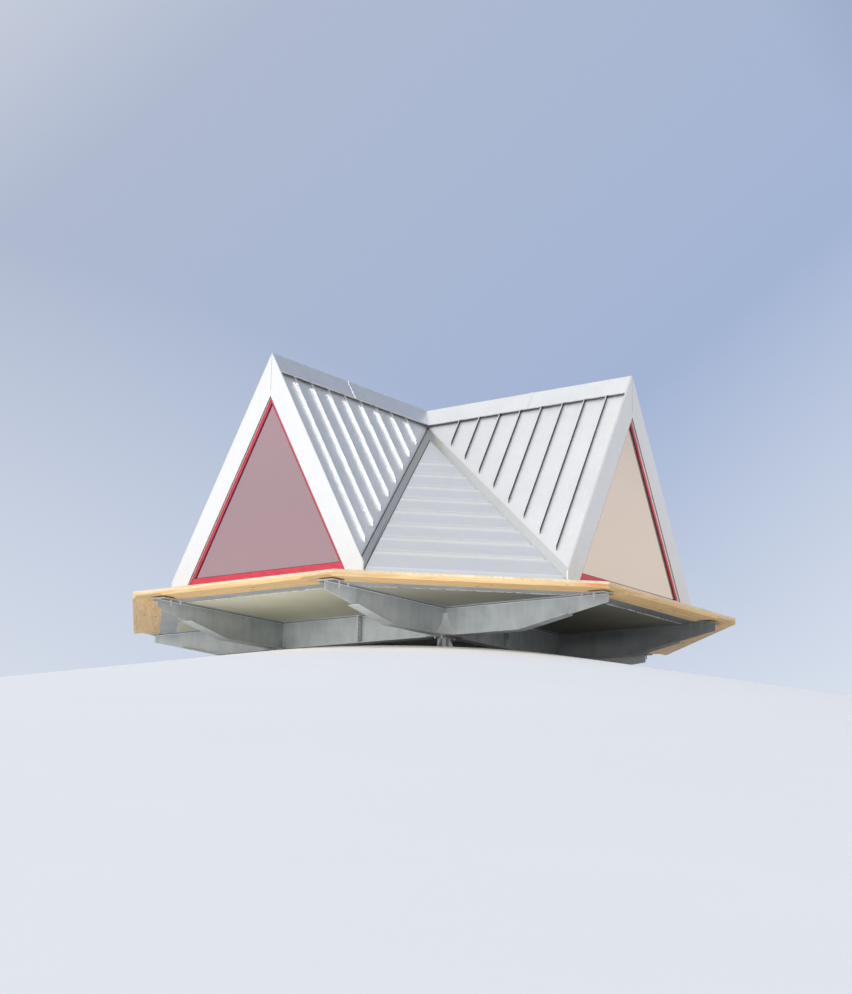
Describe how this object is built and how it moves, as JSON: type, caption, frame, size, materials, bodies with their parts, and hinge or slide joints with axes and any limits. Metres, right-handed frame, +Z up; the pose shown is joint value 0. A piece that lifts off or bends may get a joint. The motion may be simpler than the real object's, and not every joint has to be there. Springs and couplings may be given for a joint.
{
  "type": "a-frame cabin",
  "caption": "Cross-shaped A-frame cabin with glazed gables and a folded standing seam roof, on an octagonal timber deck over tapered steel girders.",
  "frame": {"origin": "centre of the plan, at the underside of the feet", "axes": "+Z up; the four gables face -Y, +X, +Y and -X, and the pictured pair faces -Y and +X"},
  "size_m": [9.6568, 9.6568, 4.5206],
  "materials": {
    "panel_timber": "matt",
    "roof_sheet": "satin",
    "cap_metal": "satin",
    "white_board": "satin",
    "red_frame": "satin",
    "window_glass": "clear",
    "flashing_metal": "satin",
    "floor_board": "matt",
    "deck_timber": "matt",
    "edge_timber": "matt",
    "rim_metal": "galvanised",
    "soffit_board": "matt",
    "girder_steel": "galvanised",
    "foot_steel": "galvanised"
  },
  "bodies": {
    "root": {"arm_panels_south": "panel_timber", "arm_panels_east": "panel_timber", "arm_panels_north": "panel_timber", "arm_panels_west": "panel_timber", "infill_panel_southeast": "panel_timber", "infill_panel_northeast": "panel_timber", "infill_panel_northwest": "panel_timber", "infill_panel_southwest": "panel_timber", "arm_sheets_south": "roof_sheet", "arm_sheets_east": "roof_sheet", "arm_sheets_north": "roof_sheet", "arm_sheets_west": "roof_sheet", "infill_sheet_southeast": "roof_sheet", "infill_sheet_northeast": "roof_sheet", "infill_sheet_northwest": "roof_sheet", "infill_sheet_southwest": "roof_sheet", "ridge_cap_south": "cap_metal", "ridge_cap_east": "cap_metal", "ridge_cap_north": "cap_metal", "ridge_cap_west": "cap_metal", "gable_boards_south": "white_board", "gable_boards_east": "white_board", "gable_boards_north": "white_board", "gable_boards_west": "white_board", "window_frame_south": "red_frame", "window_frame_east": "red_frame", "window_frame_north": "red_frame", "window_frame_west": "red_frame", "window_pane_south": "window_glass", "window_pane_east": "window_glass", "window_pane_north": "window_glass", "window_pane_west": "window_glass", "valley_flashings": "flashing_metal", "floor": "floor_board", "deck_slab": "deck_timber", "edge_boards": "edge_timber", "rim_strip": "rim_metal", "soffit": "soffit_board", "girder_west": "girder_steel", "girder_east": "girder_steel", "cross_girder_south": "girder_steel", "cross_girder_north": "girder_steel", "corner_gussets": "girder_steel", "feet": "foot_steel"}
  },
  "joints": []
}
